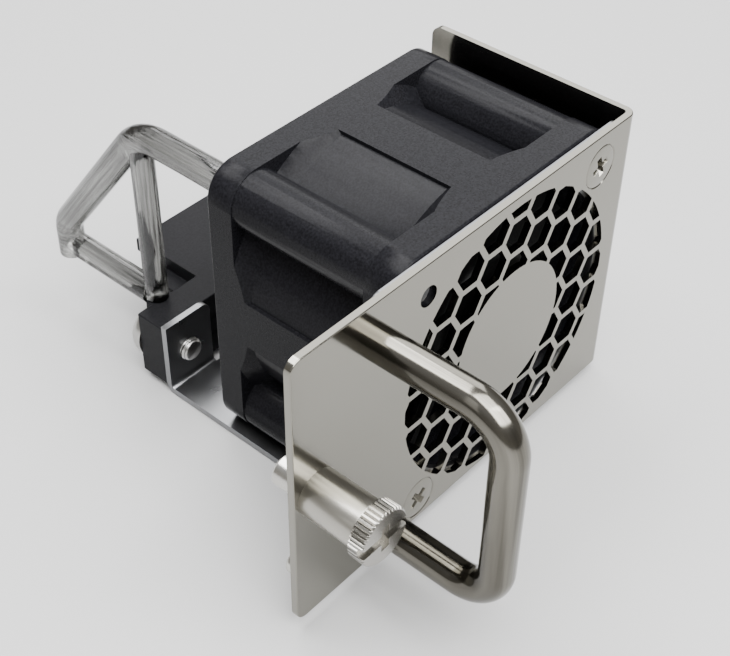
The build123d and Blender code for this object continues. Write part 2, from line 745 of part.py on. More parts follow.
def connector_screw(x):
    head_back = ear_back + connector_screw_head_t
    head = rod(x, connector_screw_z, ear_back, head_back, connector_screw_head_d)
    rim = head.edges().filter_by(GeomType.CIRCLE).sort_by(Axis.Y)[-1]
    head = fillet(rim, connector_screw_head_r)
    tip_y = tab_front_y - connector_screw_tip
    shank = rod(x, connector_screw_z, tip_y, ear_back, connector_screw_d)
    tip = shank.edges().filter_by(GeomType.CIRCLE).sort_by(Axis.Y)[0]
    shank = chamfer(tip, thread_chamfer)
    half_l, half_w = recess_l / 2, recess_w / 2
    low, high = connector_screw_z - half_w, connector_screw_z + half_w
    slot = block(x - half_l, x + half_l, head_back - recess_depth, head_back + 1, low, high)
    return head + shank - slot


def build():
    return {
        "front_plate": front_plate(),
        "fan_tray": fan_tray(),
        "fan_housing": fan_housing(),
        "impeller": impeller(),
        "rotor_yoke": rotor_yoke(),
        "rotor_magnet": rotor_magnet(),
        "rotor_shaft": rotor_shaft(),
        "front_bearing": bearing(front_bearing_y),
        "rear_bearing": bearing(rear_bearing_y),
        "bearing_tube": bearing_tube(),
        "stator_core": stator_core(),
        "stator_coils": stator_coils(),
        "motor_board": motor_board(),
        "preload_washer": preload_washer(),
        "shaft_clip": shaft_clip(),
        "fan_screws": Compound(children=[fan_screw(side) for side in (1, -1)]),
        "pull_handle": pull_handle(),
        "handle_screws": Compound(children=[handle_screw(z) for z in (handle_low_z, handle_high_z)]),
        "thumbscrew_ferrule": thumbscrew_ferrule(),
        "thumbscrew_knob": thumbscrew_knob(),
        "thumbscrew_shank": thumbscrew_shank(),
        "thumbscrew_washer": thumbscrew_washer(),
        "thumbscrew_spring": thumbscrew_spring(),
        "guide_pin": guide_pin(),
        "light_pipe": light_pipe(),
        "connector_body": connector_body(),
        "connector_contacts": connector_contacts(),
        "connector_screws": Compound(
            children=[connector_screw(x) for x in (-connector_screw_x, connector_screw_x)]
        ),
    }


os.makedirs("parts", exist_ok=True)
for name, shape in build().items():
    export_step(shape, f"parts/{name}.step")
    box = shape.bounding_box()
    print(name, round(shape.volume, 2), [round(v, 2) for v in (*box.min, *box.max)])
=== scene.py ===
# %% [markdown]
# # A hot-swappable fan module
# The module slides into the back of a chassis. A folded plate with a hexagonal grille carries a
# 40 mm fan, a round pull handle and a captive thumbscrew. A clear rod brings light to a window in
# the plate, and a dark connector at the back plugs in as the module slides home.
# The engineering model already holds every piece at its real size, so this lesson loads it first
# and then works on what the eye sees: metal, moulded plastic, clear acrylic and screw threads.

# %% Load the engineering model
import bpy
import bmesh
import math
from mathutils import Matrix, Vector


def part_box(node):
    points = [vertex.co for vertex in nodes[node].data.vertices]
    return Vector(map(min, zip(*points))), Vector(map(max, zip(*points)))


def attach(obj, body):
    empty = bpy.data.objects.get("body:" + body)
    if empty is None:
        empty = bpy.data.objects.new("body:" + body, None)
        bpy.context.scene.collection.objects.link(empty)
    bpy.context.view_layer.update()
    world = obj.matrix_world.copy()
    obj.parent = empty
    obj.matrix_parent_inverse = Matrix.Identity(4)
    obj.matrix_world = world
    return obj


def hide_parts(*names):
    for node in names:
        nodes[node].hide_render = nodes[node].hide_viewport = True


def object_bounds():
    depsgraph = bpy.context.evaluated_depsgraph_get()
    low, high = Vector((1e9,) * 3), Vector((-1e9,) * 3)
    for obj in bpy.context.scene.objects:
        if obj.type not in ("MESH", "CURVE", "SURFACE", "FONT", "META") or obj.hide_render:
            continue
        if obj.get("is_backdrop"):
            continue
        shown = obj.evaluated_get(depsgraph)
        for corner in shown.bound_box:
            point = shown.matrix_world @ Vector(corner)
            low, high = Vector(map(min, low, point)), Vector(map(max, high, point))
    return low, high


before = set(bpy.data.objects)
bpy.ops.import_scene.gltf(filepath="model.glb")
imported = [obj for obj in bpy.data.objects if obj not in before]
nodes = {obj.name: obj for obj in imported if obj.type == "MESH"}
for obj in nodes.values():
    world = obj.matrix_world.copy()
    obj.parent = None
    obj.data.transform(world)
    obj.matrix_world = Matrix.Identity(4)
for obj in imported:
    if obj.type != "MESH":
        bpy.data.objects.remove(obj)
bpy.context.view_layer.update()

# %% [markdown]
# ## The camera
# A product picture is a long-lens picture: the sides of a box stay nearly parallel. The camera is
# described the way a photographer would, by where it stands and which way it looks, because those
# numbers mean something on their own. A matrix of nine numbers would give the same view, but
# nobody could adjust it by hand.

# %% Place the camera
camera_place = Vector((-0.1074, -0.0859, 0.1347))
camera_azimuth = math.radians(-49.17)
camera_elevation = math.radians(41.69)
camera_roll = math.radians(0.88)
focal_length_mm = 70.24
sensor_width_mm = 36.0
nearest_in_view = 0.005

back = Vector((math.sin(camera_azimuth) * math.cos(camera_elevation),
               -math.cos(camera_azimuth) * math.cos(camera_elevation),
               math.sin(camera_elevation)))
level_right = Vector((math.cos(camera_azimuth), math.sin(camera_azimuth), 0.0))
level_up = back.cross(level_right)
right = level_right * math.cos(camera_roll) + level_up * math.sin(camera_roll)
up = back.cross(right)
turn_of_camera = Matrix((right, up, back)).transposed().to_4x4()

lens = bpy.data.cameras.new("camera")
lens.lens = focal_length_mm
lens.sensor_width = sensor_width_mm
lens.sensor_fit = "HORIZONTAL"
lens.clip_start = nearest_in_view
camera = bpy.data.objects.new("camera", lens)
camera.matrix_world = Matrix.Translation(camera_place) @ turn_of_camera
bpy.context.scene.collection.objects.link(camera)
bpy.context.scene.camera = camera
print("camera", round(camera_place.length * 1000), "mm from the origin")

# %% [markdown]
# ## Floor and studio light
# Polished metal has almost no colour of its own: it shows the room. So the room matters more than
# any material here. A pale floor gives the plate its even grey, and wide soft lamps overhead give
# the round bars their long white streaks. The world is bright only at the top and a warm mid grey
# lower down, which gives those bars their darker edges. A plain white world would make them look
# like grey plastic.

# %% Helpers for objects and plain shaders


def link(obj):
    bpy.context.scene.collection.objects.link(obj)
    return obj


def new_material(name, colour, metallic, roughness):
    """Plain shader to start from, and the node that later steps plug into."""
    material = bpy.data.materials.new(name)
    material.use_nodes = True
    shader = material.node_tree.nodes["Principled BSDF"]
    shader.inputs["Base Color"].default_value = (*colour, 1.0)
    shader.inputs["Metallic"].default_value = metallic
    shader.inputs["Roughness"].default_value = roughness
    return material, shader


# %% Lay the floor
half_floor = 3.0
floor_gap = 0.0002
floor_colour = (0.36, 0.36, 0.36)
floor_roughness = 0.6

floor_mesh = bpy.data.meshes.new("floor")
floor_corners = [(-half_floor, -half_floor, 0), (half_floor, -half_floor, 0),
                 (half_floor, half_floor, 0), (-half_floor, half_floor, 0)]
floor_mesh.from_pydata(floor_corners, [], [(0, 1, 2, 3)])
floor = link(bpy.data.objects.new("floor", floor_mesh))
floor.location.z = -floor_gap
floor_material = new_material("pale_floor", floor_colour, 0.0, floor_roughness)[0]
floor_mesh.materials.append(floor_material)
floor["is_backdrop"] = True
print("floor is", 2 * half_floor, "m across")

# %% Make the world
sky_stops = ((0.0, (0.46, 0.44, 0.40)), (0.3, (0.40, 0.385, 0.36)),
             (0.62, (0.5, 0.5, 0.5)), (1.0, (0.9, 0.9, 0.9)))

world = bpy.data.worlds.new("studio")
bpy.context.scene.world = world
world.use_nodes = True
world_nodes, world_links = world.node_tree.nodes, world.node_tree.links
sky_place = world_nodes.new("ShaderNodeTexCoord")
sky_height = world_nodes.new("ShaderNodeSeparateXYZ")
sky_colours = world_nodes.new("ShaderNodeValToRGB")
world_links.new(sky_place.outputs["Generated"], sky_height.inputs[0])
world_links.new(sky_height.outputs["Z"], sky_colours.inputs["Fac"])
world_links.new(sky_colours.outputs["Color"], world_nodes["Background"].inputs["Color"])
sky_ramp = sky_colours.color_ramp.elements
while len(sky_ramp) < len(sky_stops):
    sky_ramp.new(0.5)
for stop, (position, colour) in zip(sky_ramp, sky_stops):
    stop.position = position
    stop.color = (*colour, 1.0)
world_nodes["Background"].inputs["Strength"].default_value = 1.0
print("world has", len(sky_stops), "steps from horizon to zenith")

# %% Hang the lamps
# Each lamp: where it hangs and its width and height in metres, and its power in watts.
lamps = {
    "overhead_lamp": ((-0.05, -0.12, 0.62), (0.6, 0.36), 8.0),
    "streak_lamp": ((-0.03, 0.3, 0.58), (0.55, 0.24), 5.6),
    "front_lamp": ((-0.05, -0.42, 0.55), (0.8, 0.36), 13.0),
    "back_lamp": ((0.42, 0.32, 0.46), (0.5, 0.5), 3.0),
    "side_lamp": ((-0.55, 0.1, 0.35), (0.2, 0.4), 0.2),
}
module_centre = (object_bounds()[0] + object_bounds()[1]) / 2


def soft_lamp(name, place, size, power):
    """Rectangular lamp at a place, turned to face the middle of the module."""
    lamp = bpy.data.lights.new(name, "AREA")
    lamp.shape = "RECTANGLE"
    lamp.size, lamp.size_y = size
    lamp.energy = power
    obj = link(bpy.data.objects.new(name, lamp))
    obj.location = place
    obj.rotation_euler = (module_centre - Vector(place)).to_track_quat("-Z", "Y").to_euler()


for name, (place, size, power) in lamps.items():
    soft_lamp(name, place, size, power)
print(len(lamps), "lamps aim at", [round(v * 1000) for v in module_centre])

# %% [markdown]
# ## Finishes
# Real surfaces are never one value all over. Each finish below starts as a plain shader and then
# gets two things from a noise texture: a roughness that wanders a little, as handling and rolling
# leave it, and a very low bump at the scale of the real grain. Noise in object space needs no
# unwrapping, which suits parts that were drawn as solids. Stretched along one direction, the same
# noise turns into drawing marks and streaks.

# %% Helper for noise
even = (1.0, 1.0, 1.0)


def add_noise(material, per_metre, detail=4.0, stretch=even, turn_deg=0.0):
    """Noise in object space, turned about X, with so many lumps per metre."""
    tree = material.node_tree
    place = tree.nodes.new("ShaderNodeTexCoord")
    mapping = tree.nodes.new("ShaderNodeMapping")
    mapping.vector_type = "TEXTURE"
    mapping.inputs["Rotation"].default_value = (math.radians(turn_deg), 0.0, 0.0)
    mapping.inputs["Scale"].default_value = [1 / share for share in stretch]
    noise = tree.nodes.new("ShaderNodeTexNoise")
    noise.inputs["Scale"].default_value = per_metre
    noise.inputs["Detail"].default_value = detail
    tree.links.new(place.outputs["Object"], mapping.inputs["Vector"])
    tree.links.new(mapping.outputs["Vector"], noise.inputs["Vector"])
    return noise


# %% Helpers for uneven finishes
# Noise seldom strays far from its middle, so only this part of its range is spread out.
roughness_noise = (0.3, 0.7)
colour_noise = (0.35, 0.65)


def vary_roughness(material, shader, low, high, per_metre):
    """Roughness that wanders between two values."""
    tree = material.node_tree
    noise = add_noise(material, per_metre)
    spread = tree.nodes.new("ShaderNodeMapRange")
    spread.inputs["From Min"].default_value = roughness_noise[0]
    spread.inputs["From Max"].default_value = roughness_noise[1]
    spread.inputs["To Min"].default_value = low
    spread.inputs["To Max"].default_value = high
    tree.links.new(noise.outputs["Fac"], spread.inputs["Value"])
    tree.links.new(spread.outputs["Result"], shader.inputs["Roughness"])


def vary_colour(material, shader, dark, light, per_metre, stretch=even, turn_deg=0.0):
    """Colour that wanders between two tones."""
    tree = material.node_tree
    noise = add_noise(material, per_metre, stretch=stretch, turn_deg=turn_deg)
    tones = tree.nodes.new("ShaderNodeValToRGB")
    for stop, position, colour in zip(tones.color_ramp.elements, colour_noise, (dark, light)):
        stop.position = position
        stop.color = (*colour, 1.0)
    tree.links.new(noise.outputs["Fac"], tones.inputs["Fac"])
    tree.links.new(tones.outputs["Color"], shader.inputs["Base Color"])


def add_bump(material, shader, height_mm, per_metre, stretch=even, detail=3.0, turn_deg=0.0):
    """Grain, as a bump of a given height."""
    tree = material.node_tree
    noise = add_noise(material, per_metre, detail, stretch, turn_deg)
    bump = tree.nodes.new("ShaderNodeBump")
    bump.inputs["Strength"].default_value = 1.0
    bump.inputs["Distance"].default_value = height_mm / 1000
    tree.links.new(noise.outputs["Fac"], bump.inputs["Height"])
    tree.links.new(bump.outputs["Normal"], shader.inputs["Normal"])


# %% [markdown]
# ## Plated metal
# The plate and the tray are both bent from plated sheet. The plate is the smoother one, and its
# even grey is the floor and the lamps seen in it. The tray is a little duller, and the fan that
# stands on it shows in its floor as a soft dark shape. Screws, sleeve and knob were turned and
# plated, and they run from nearly polished to brushed. It is one kind of surface each time, with
# another colour and another roughness, so one function makes them all.

# %% Make the plated metals


def plated_metal(name, colour, roughness, bump_mm):
    low, high = roughness
    material, shader = new_material(name, colour, 1.0, low)
    vary_roughness(material, shader, low, high, per_metre=220.0)
    add_bump(material, shader, bump_mm, per_metre=2600.0)
    return material


plate_grey = (0.225, 0.217, 0.190)
plate_steel = plated_metal("plated_plate", plate_grey, (0.11, 0.15), 0.0003)
flush_steel = plated_metal("plated_flush_screw", plate_grey, (0.16, 0.2), 0.0003)
tray_steel = plated_metal("plated_tray", (0.22, 0.222, 0.229), (0.26, 0.34), 0.0003)
screw_steel = plated_metal("plated_screw", (0.42, 0.415, 0.40), (0.25, 0.32), 0.0005)
turned_steel = plated_metal("turned_steel", (0.50, 0.49, 0.46), (0.2, 0.28), 0.0005)
knob_nickel = plated_metal("satin_nickel", (0.34, 0.33, 0.305), (0.2, 0.28), 0.0006)
sleeve_nickel = plated_metal("brushed_nickel", (0.38, 0.366, 0.33), (0.28, 0.34), 0.0004)
brass = plated_metal("turned_brass", (0.75, 0.56, 0.26), (0.18, 0.3), 0.0006)
print("plated metals from", plate_steel.name, "to", brass.name)

# %% [markdown]
# ## The handle's nickel
# The handle is plated and polished, and its nickel is a shade darker than the plate's. Handling
# leaves faint marks of another tone on it, and the same streaks of tone also paint dark reflection
# bands into its colour. Bending leaves it a little uneven, so that the edges of its reflections
# waver. Both come from noise that is drawn out in the plane of the bend, so that its marks run
# along the bar all the way round.

# %% Make the handle's nickel
nickel_marks_and_reflection_tones = ((0.085, 0.080, 0.068), (0.20, 0.19, 0.165))
nickel_roughness = (0.12, 0.17)

nickel, nickel_shader = new_material("polished_nickel", nickel_marks_and_reflection_tones[1], 1.0, nickel_roughness[0])
# Faint handling marks and painted reflection bands, as streaks of tone along the bar.
vary_colour(nickel, nickel_shader, *nickel_marks_and_reflection_tones, per_metre=1100.0, stretch=(1.0, 0.02, 0.02))
vary_roughness(nickel, nickel_shader, *nickel_roughness, per_metre=300.0)
add_bump(nickel, nickel_shader, 0.03, per_metre=700.0, stretch=(1.0, 0.04, 0.04), detail=1.0)
print("handle finish:", nickel.name)

# %% [markdown]
# ## Moulded plastics
# The fan's frame is a glass-filled moulding with a fine spark-eroded grain, seen best on its top
# face. The impeller is smoother, and the connector's grain is a little coarser. The fan's grain
# is a bump of about a tenth of a millimetre across, far too small to model.

# %% Make the plastics


def moulded_plastic(name, dark, light, roughness, grain_per_metre, bump_mm, gloss):
    low, high = roughness
    material, shader = new_material(name, light, 0.0, low)
    shader.inputs["Specular IOR Level"].default_value = gloss
    vary_colour(material, shader, dark, light, per_metre=4000.0)
    vary_roughness(material, shader, low, high, per_metre=2400.0)
    add_bump(material, shader, bump_mm, per_metre=grain_per_metre)
    return material


fan_plastic = moulded_plastic(
    "grained_fan_plastic", (0.0036, 0.0036, 0.0043), (0.0082, 0.0082, 0.0098),
    roughness=(0.2, 0.26), grain_per_metre=7000.0, bump_mm=0.010, gloss=0.055)
impeller_plastic = moulded_plastic(
    "impeller_plastic", (0.003, 0.003, 0.003), (0.005, 0.005, 0.005),
    roughness=(0.32, 0.42), grain_per_metre=2500.0, bump_mm=0.003, gloss=0.08)
connector_plastic = moulded_plastic(
    "connector_plastic", (0.007, 0.007, 0.0078), (0.010, 0.010, 0.0112),
    roughness=(0.3, 0.4), grain_per_metre=5200.0, bump_mm=0.012, gloss=0.045)
print("plastics:", fan_plastic.name, impeller_plastic.name, connector_plastic.name)

# %% [markdown]
# ## Clear acrylic
# The light pipe is cast acrylic. Glass in a renderer is a shader that lets light through and bends
# it, so what lies behind is drawn out along the rod. Faint grey streaks painted into its colour
# stand for the room seen drawn out through it, a painted reflection that keeps it visible on a
# pale floor, and painted shade darkens its colour towards its rim, where the skin turns away from
# the view. The streaks run along each arm, so there are three of these finishes, each with its
# noise turned to suit one arm.

# %% Helper for the painted rim shade
# Painted shade on the clear rod begins at the first share of turning away and is full at the
# second.
rim_shade_starts, rim_shade_full = 0.45, 0.85


def paint_rim_shade(material, shader, rim_shade_share):
    """Paints shade: multiplies the colour down where the skin turns away from the view."""
    tree = material.node_tree
    colour = shader.inputs["Base Color"].links[0].from_socket
    turn = tree.nodes.new("ShaderNodeLayerWeight")
    turn.inputs["Blend"].default_value = 0.5
    fall = tree.nodes.new("ShaderNodeValToRGB")
    for stop, position, share in zip(fall.color_ramp.elements, (rim_shade_starts, rim_shade_full),
                                     (1.0, rim_shade_share)):
        stop.position = position
        stop.color = (share, share, share, 1.0)
    product = tree.nodes.new("ShaderNodeMix")
    product.data_type, product.blend_type = "RGBA", "MULTIPLY"
    product.inputs["Factor"].default_value = 1.0
    tree.links.new(turn.outputs["Facing"], fall.inputs["Fac"])
    tree.links.new(colour, product.inputs["A"])
    tree.links.new(fall.outputs["Color"], product.inputs["B"])
    tree.links.new(product.outputs["Result"], shader.inputs["Base Color"])


# %% Make the clear plastic
painted_reflection_tones = ((0.045, 0.045, 0.043), (0.28, 0.28, 0.27))
acrylic_roughness = (0.02, 0.07)
acrylic_refraction = 1.49


def clear_plastic(name, turn_deg):
    """Clear plastic with painted reflection streaks along Y, turned about X, and painted shade at
    its rim.
    """
    material, shader = new_material(name, painted_reflection_tones[1], 0.0, acrylic_roughness[0])
    shader.inputs["Transmission Weight"].default_value = 1.0
    shader.inputs["IOR"].default_value = acrylic_refraction
    # Painted reflection: grey streaks in the colour stand for the room seen bent through each arm.
    vary_colour(material, shader, *painted_reflection_tones, per_metre=2600.0, stretch=(1.0, 0.03, 1.0),
                turn_deg=turn_deg)
    paint_rim_shade(material, shader, rim_shade_share=0.2)
    vary_roughness(material, shader, *acrylic_roughness, per_metre=250.0)
    add_bump(material, shader, 0.10, per_metre=2400.0, stretch=(1.0, 0.02, 1.0), detail=2.0,
             turn_deg=turn_deg)
    return material


level_acrylic = clear_plastic("clear_acrylic", turn_deg=0.0)
sloped_acrylic = clear_plastic("clear_acrylic_sloped", turn_deg=-51.7)
upright_acrylic = clear_plastic("clear_acrylic_upright", turn_deg=90.0)
print("clear plastics:", level_acrylic.name, sloped_acrylic.name, upright_acrylic.name)

# %% Make the window's painted shade
window_gloss, window_roughness = 0.15, (0.05, 0.09)

# Painted shade: the window tip is nearly black to stand for the dark inside the hole, with a little
# gloss for its glint.
window_shade_paint, window_shade_paint_shader = new_material("painted_shade_window", (0.006, 0.006, 0.007), 0.0, 0.05)
window_shade_paint_shader.inputs["Specular IOR Level"].default_value = window_gloss
vary_roughness(window_shade_paint, window_shade_paint_shader, *window_roughness, per_metre=800.0)
print("window:", window_shade_paint.name)

# %% [markdown]
# ## Inside the motor
# Few people see the motor, but the grille and the open back let light in. Copper, dull magnet and
# a green board each get their own finish. The stator is a stack of thin sheets, and bands of
# bump across it are enough to show their edges.

# %% Make the motor's finishes
copper_tones = ((0.55, 0.20, 0.08), (0.78, 0.34, 0.15))
board_tones = ((0.015, 0.10, 0.04), (0.03, 0.15, 0.06))
magnet_roughness = (0.5, 0.7)

copper, copper_shader = new_material("enamelled_copper", copper_tones[1], 1.0, 0.25)
vary_colour(copper, copper_shader, *copper_tones, per_metre=1500.0)
magnet, magnet_shader = new_material("bonded_magnet", (0.05, 0.05, 0.055), 0.3, 0.5)
vary_roughness(magnet, magnet_shader, *magnet_roughness, per_metre=1200.0)
add_bump(magnet, magnet_shader, 0.006, per_metre=3000.0)
board, board_shader = new_material("board_lacquer", board_tones[1], 0.0, 0.3)
vary_colour(board, board_shader, *board_tones, per_metre=600.0)
print("motor finishes:", copper.name, magnet.name, board.name)

# %% Make the stator's sheets
bands_per_metre = 1000.0
band_depth = 0.00005

laminated, laminated_shader = new_material("laminated_steel", (0.3, 0.3, 0.31), 1.0, 0.4)
sheet_tree = laminated.node_tree
sheet_place = sheet_tree.nodes.new("ShaderNodeTexCoord")
sheets = sheet_tree.nodes.new("ShaderNodeTexWave")
sheets.wave_type = "BANDS"
sheets.bands_direction = "Y"
sheets.inputs["Scale"].default_value = bands_per_metre
sheet_bump = sheet_tree.nodes.new("ShaderNodeBump")
sheet_bump.inputs["Distance"].default_value = band_depth
sheet_tree.links.new(sheet_place.outputs["Object"], sheets.inputs["Vector"])
sheet_tree.links.new(sheets.outputs["Fac"], sheet_bump.inputs["Height"])
sheet_tree.links.new(sheet_bump.outputs["Normal"], laminated_shader.inputs["Normal"])
print("stator finish:", laminated.name)

# %% [markdown]
# ## Shapes with a line through them
# A bent rod, a threaded tip and a turned head are all rings of points strung along a line. So the
# first helpers skin such rings and turn them into a mesh, and every round piece below uses them.
# Blender's curves could draw the rods as well, but rings made one by one take a thread and a
# rounded end just as easily. Sizes are written in millimetres, as on a drawing.

# %% Helpers for meshes made of rings
mm = 0.001
smooth_below_deg = 35


def skin_rings(bm, rings, clockwise=False):
    """Skins neighbouring rings with four-sided faces, closes both ends and returns these caps."""
    for ring, next_ring in zip(rings, rings[1:]):
        for side in range(len(ring)):
            after = (side + 1) % len(ring)
            corners = [ring[side], ring[after], next_ring[after], next_ring[side]]
            if clockwise:
                corners[1:] = reversed(corners[1:])
            bm.faces.new(corners)
    first, last = rings[0], rings[-1]
    if clockwise:
        return [bm.faces.new(first), bm.faces.new(last[::-1])]
    return [bm.faces.new(first[::-1]), bm.faces.new(last)]


def finished_mesh(bm, name):
    mesh = bpy.data.meshes.new(name)
    bm.to_mesh(mesh)
    bm.free()
    return mesh


def solid_mesh(bm, name):
    """Mesh whose faces all look outwards."""
    bmesh.ops.recalc_face_normals(bm, faces=bm.faces)
    return finished_mesh(bm, name)


def shade_round(mesh, angle_deg=smooth_below_deg):
    mesh.shade_smooth()
    mesh.set_sharp_from_angle(angle=math.radians(angle_deg))


# %% Helpers for bent rods


def bent_line(corners, bend_radii, points_per_bend):
    """Points along straight runs joined by round bends, in millimetres."""
    corners = [Vector(corner) for corner in corners]
    points = [corners[0]]
    for before, corner, after, radius in zip(corners, corners[1:], corners[2:], bend_radii):
        to_before, to_after = (before - corner).normalized(), (after - corner).normalized()
        half_angle = to_before.angle(to_after) / 2
        middle = corner + (to_before + to_after).normalized() * radius / math.sin(half_angle)
        first = (corner + to_before * radius / math.tan(half_angle) - middle).normalized()
        last = (corner + to_after * radius / math.tan(half_angle) - middle).normalized()
        for step in range(points_per_bend + 1):
            points.append(middle + first.slerp(last, step / points_per_bend) * radius)
    points.append(corners[-1])
    return points


def rod_mesh(name, points, radius, sides=64, end_round=0.0):
    """Closed round rod along points in a plane square to X, with both ends capped."""
    bm = bmesh.new()
    rings = []
    across = Vector((1, 0, 0))
    for number, point in enumerate(points):
        ahead = points[min(number + 1, len(points) - 1)] - points[max(number - 1, 0)]
        outward = ahead.normalized().cross(across)
        ring = []
        for side in range(sides):
            angle = math.tau * side / sides
            offset = (across * math.cos(angle) + outward * math.sin(angle)) * radius
            ring.append(bm.verts.new((point + offset) * mm))
        rings.append(ring)
    caps = skin_rings(bm, rings)
    if end_round > 0:
        rim = [edge for face in caps for edge in face.edges]
        bmesh.ops.bevel(bm, geom=rim, offset=end_round * mm, segments=4, profile=0.5,
                        affect="EDGES")
    return solid_mesh(bm, name)


# %% Helper for putting a piece in the scene


def add_piece(name, mesh, materials, body, slot, *replaced):
    """Puts a finished mesh in the scene as a piece of the module."""
    mesh.materials.clear()
    for material in materials:
        mesh.materials.append(material)
    obj = link(bpy.data.objects.new(name, mesh))
    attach(obj, body)
    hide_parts(*replaced)


# %% [markdown]
# ## The pull handle
# A polished bar shows every flat of a coarse mesh as a kink in its reflections. The engineering
# mesh is drawn with few sides, so this piece bends the same rod again with many. Its size is read
# from the engineering piece, so the two can't drift apart.

# %% Bend the handle
handle_radius, handle_bend, handle_end_round = 2.1, 5.2, 0.2
low, high = (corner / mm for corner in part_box("pull_handle"))
handle_x = (low.x + high.x) / 2
bar_y, foot_y = low.y + handle_radius, high.y
low_z, high_z = low.z + handle_radius, high.z - handle_radius
handle_corners = [(handle_x, foot_y, high_z), (handle_x, bar_y, high_z),
                  (handle_x, bar_y, low_z), (handle_x, foot_y, low_z)]
handle_line = bent_line(handle_corners, [handle_bend, handle_bend], points_per_bend=24)
handle_mesh = rod_mesh("handle_bar", handle_line, handle_radius, sides=96,
                       end_round=handle_end_round)
shade_round(handle_mesh)
add_piece("handle_bar", handle_mesh, [nickel], "module", "handle_chrome", "pull_handle")
print("handle reaches", round(foot_y - bar_y + handle_radius, 1), "mm from the plate")

# %% [markdown]
# ## The clear rod
# The light pipe is one moulding: a long rod that bends down behind the fan, a level run and a
# post. Clear plastic must be one closed skin, because a wall left inside it would show. So the
# three round forms are made one by one and joined by a boolean union. The window in the plate is
# a separate near-black tip, painted shade that stands for the dark inside the hole, so it is a
# mesh of its own.

# %% Measure the clear rod
pipe_radius, run_radius, post_radius = 1.9, 1.75, 1.575
pipe_x, pipe_z, pipe_start = -16.0, 36.9, -14.8
post_y, post_foot_z, post_top_z = 29.85, 10.9, 35.65
tail_y, tail_z, foot_z = 47.35, 14.75, 9.37
run_z, run_front = 11.22, 30.7
pipe_bends, pipe_end_round = [7.4, 4.0], 0.15
pipe_corners = [(pipe_x, pipe_start, pipe_z), (pipe_x, post_y, pipe_z),
                (pipe_x, tail_y, tail_z), (pipe_x, tail_y, foot_z)]
run_line = [Vector((pipe_x, run_front, run_z)), Vector((pipe_x, tail_y, run_z))]
post_line = [Vector((pipe_x, post_y, post_foot_z)), Vector((pipe_x, post_y, post_top_z))]
print("the loop stands", round(pipe_z - foot_z), "mm high")

# %% Mould the clear rod


def combined(name, meshes, operation):
    """One closed skin. UNION joins the meshes, and DIFFERENCE cuts the rest from the first."""
    objects = [link(bpy.data.objects.new(mesh.name, mesh)) for mesh in meshes]
    for other in objects[1:]:
        step = objects[0].modifiers.new("combine", "BOOLEAN")
        step.operation, step.solver, step.object = operation, "EXACT", other
    graph = bpy.context.evaluated_depsgraph_get()
    result = bpy.data.meshes.new_from_object(objects[0].evaluated_get(graph))
    result.name = name
    for obj in objects:
        bpy.data.objects.remove(obj)
    return result


pipe_line = bent_line(pipe_corners, pipe_bends, points_per_bend=18)
clear_mesh = combined("clear_rod", [
    rod_mesh("long_rod", pipe_line, pipe_radius, end_round=pipe_end_round),
    rod_mesh("level_run", run_line, run_radius),
    rod_mesh("post", post_line, post_radius),
], "UNION")
shade_round(clear_mesh)
add_piece("clear_rod", clear_mesh, [level_acrylic, sloped_acrylic, upright_acrylic],
          "module", "clear_plastic", "light_pipe")
print("clear rod has", len(clear_mesh.vertices), "points")

# %% Turn the streaks along each arm
sloped_from_y, sloped_from_z = post_y + 2.3, run_z + run_radius + 1.0
post_reach = 1.8
post_from_z, post_to_z = run_z + run_radius, pipe_z - pipe_radius

for face in clear_mesh.polygons:
    place = face.center / mm
    if place.y > sloped_from_y and place.z > sloped_from_z:
        face.material_index = 1
    elif abs(place.y - post_y) < post_reach and post_from_z < place.z < post_to_z:
        face.material_index = 2
sloped_faces = sum(face.material_index == 1 for face in clear_mesh.polygons)
print(sloped_faces, "faces on the sloping arm")

# %% Set the window
nose_radius, nose_front, nose_round = 1.25, -15.3, 0.9
nose_line = [Vector((pipe_x, nose_front, pipe_z)), Vector((pipe_x, pipe_start, pipe_z))]
nose_mesh = rod_mesh("window_nose", nose_line, nose_radius, end_round=nose_round)
shade_round(nose_mesh)
add_piece("window_nose", nose_mesh, [window_shade_paint], "module", "clear_plastic", "light_pipe")
print("window is", 2 * nose_radius, "mm across")

# %% [markdown]
# ## Threads
# The connector's screws show their threads, where the tips come through the tray's tabs. The
# engineering model keeps them plain, as is usual. Here the threaded length is a surface whose
# radius rises and falls once per turn, under the heads that the engineering model already has.

# %% Helper for threads
flank_slope = 1.25


def threaded_rod(bm, x, z, y0, y1, radius, depth, pitch, chamfer, sides=56, rows_per_turn=10):
    """Threaded rod about a line along Y, from y0 to y1, with a chamfer at its y0 end."""
    rows = max(2, int((y1 - y0) / pitch * rows_per_turn))
    rings = []
    for row in range(rows + 1):
        y = y0 + (y1 - y0) * row / rows
        ring = []
        for side in range(sides):
            turn = (y / pitch - side / sides) % 1.0
            r = radius - depth * min(1.0, abs(2 * turn - 1) * flank_slope)
            r = min(r, radius - chamfer + (y - y0), radius + (y1 - y))
            angle = math.tau * side / sides
            point = Vector((x + r * math.cos(angle), y, z + r * math.sin(angle)))
            ring.append(bm.verts.new(point * mm))
        rings.append(ring)
    skin_rings(bm, rings, clockwise=True)


# %% Cut the connector screws' threads
tab_screw_places, tab_screw_z = (-16.5, 16.5), 5.6
screw_tip_y, head_seat_y = 22.75, 29.15
thread_into_head, head_slack = 0.3, 0.01
tab_screw_radius, tab_screw_pitch, tab_thread_depth, tab_screw_chamfer = 1.7, 0.6, 0.24, 0.4

